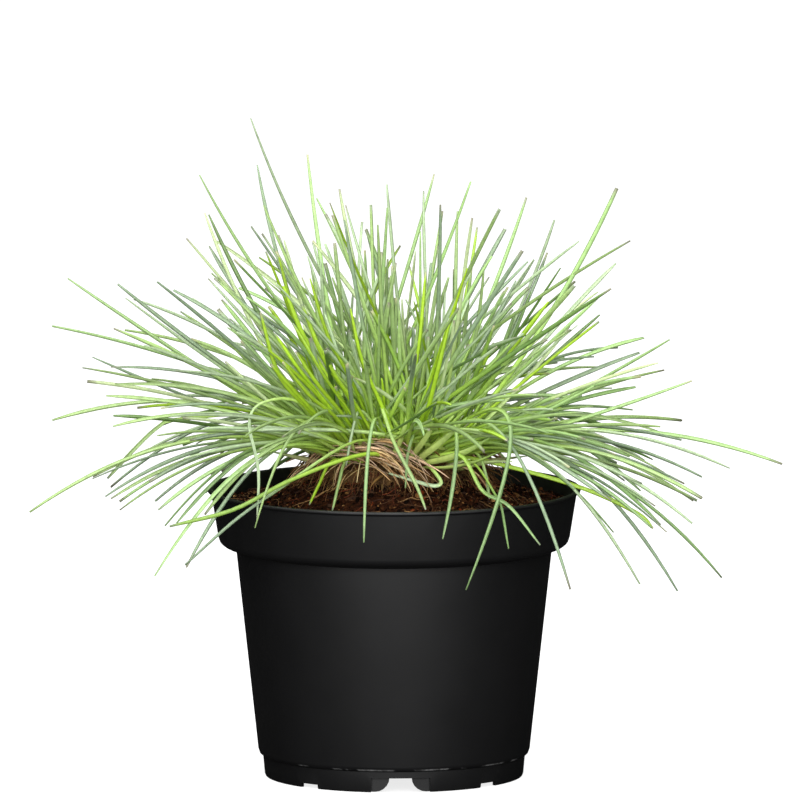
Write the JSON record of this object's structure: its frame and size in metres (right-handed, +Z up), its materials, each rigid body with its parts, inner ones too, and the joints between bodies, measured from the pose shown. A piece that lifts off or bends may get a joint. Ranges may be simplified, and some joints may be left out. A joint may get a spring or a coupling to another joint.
{
  "type": "potted blue fescue clump",
  "caption": "Clump of fine arching grey-green fescue leaves rising from a straw-coloured crown in a round black plastic nursery pot.",
  "frame": {"origin": "on the pot's axis, at the level that its feet stand on; the middle of the box's bottom", "axes": "+Z up; -Y is the front, which an arch in the foot ring faces within 3 degrees; +X is the right side, along the clump's widest spread"},
  "size_m": [0.3447, 0.3209, 0.3004],
  "materials": {
    "pot": "satin",
    "growing_medium": "matte",
    "crown": "matte",
    "leaf": "satin"
  },
  "bodies": {
    "root": {"crown": "crown", "growing_medium": "growing_medium", "hanging_leaf_01": "leaf", "hanging_leaf_02": "leaf", "hanging_leaf_03": "leaf", "hanging_leaf_04": "leaf", "pot": "pot", "tuft_low_01": "leaf", "tuft_low_02": "leaf", "tuft_low_03": "leaf", "tuft_low_04": "leaf", "tuft_low_05": "leaf", "tuft_low_06": "leaf", "tuft_low_07": "leaf", "tuft_low_08": "leaf", "tuft_low_09": "leaf", "tuft_low_10": "leaf", "tuft_low_11": "leaf", "tuft_low_12": "leaf", "tuft_low_13": "leaf", "tuft_side_01": "leaf", "tuft_side_02": "leaf", "tuft_side_03": "leaf", "tuft_side_04": "leaf", "tuft_side_05": "leaf", "tuft_side_06": "leaf", "tuft_side_07": "leaf", "tuft_side_08": "leaf", "tuft_side_09": "leaf", "tuft_side_10": "leaf", "tuft_side_11": "leaf", "tuft_side_12": "leaf", "tuft_side_13": "leaf", "tuft_side_14": "leaf", "tuft_top_01": "leaf", "tuft_top_02": "leaf", "tuft_top_03": "leaf", "tuft_top_04": "leaf", "tuft_top_05": "leaf", "tuft_upper_01": "leaf", "tuft_upper_02": "leaf", "tuft_upper_03": "leaf", "tuft_upper_04": "leaf", "tuft_upper_05": "leaf", "tuft_upper_06": "leaf", "tuft_upper_07": "leaf", "tuft_upper_08": "leaf", "tuft_upper_09": "leaf", "tuft_upper_10": "leaf"}
  },
  "joints": []
}
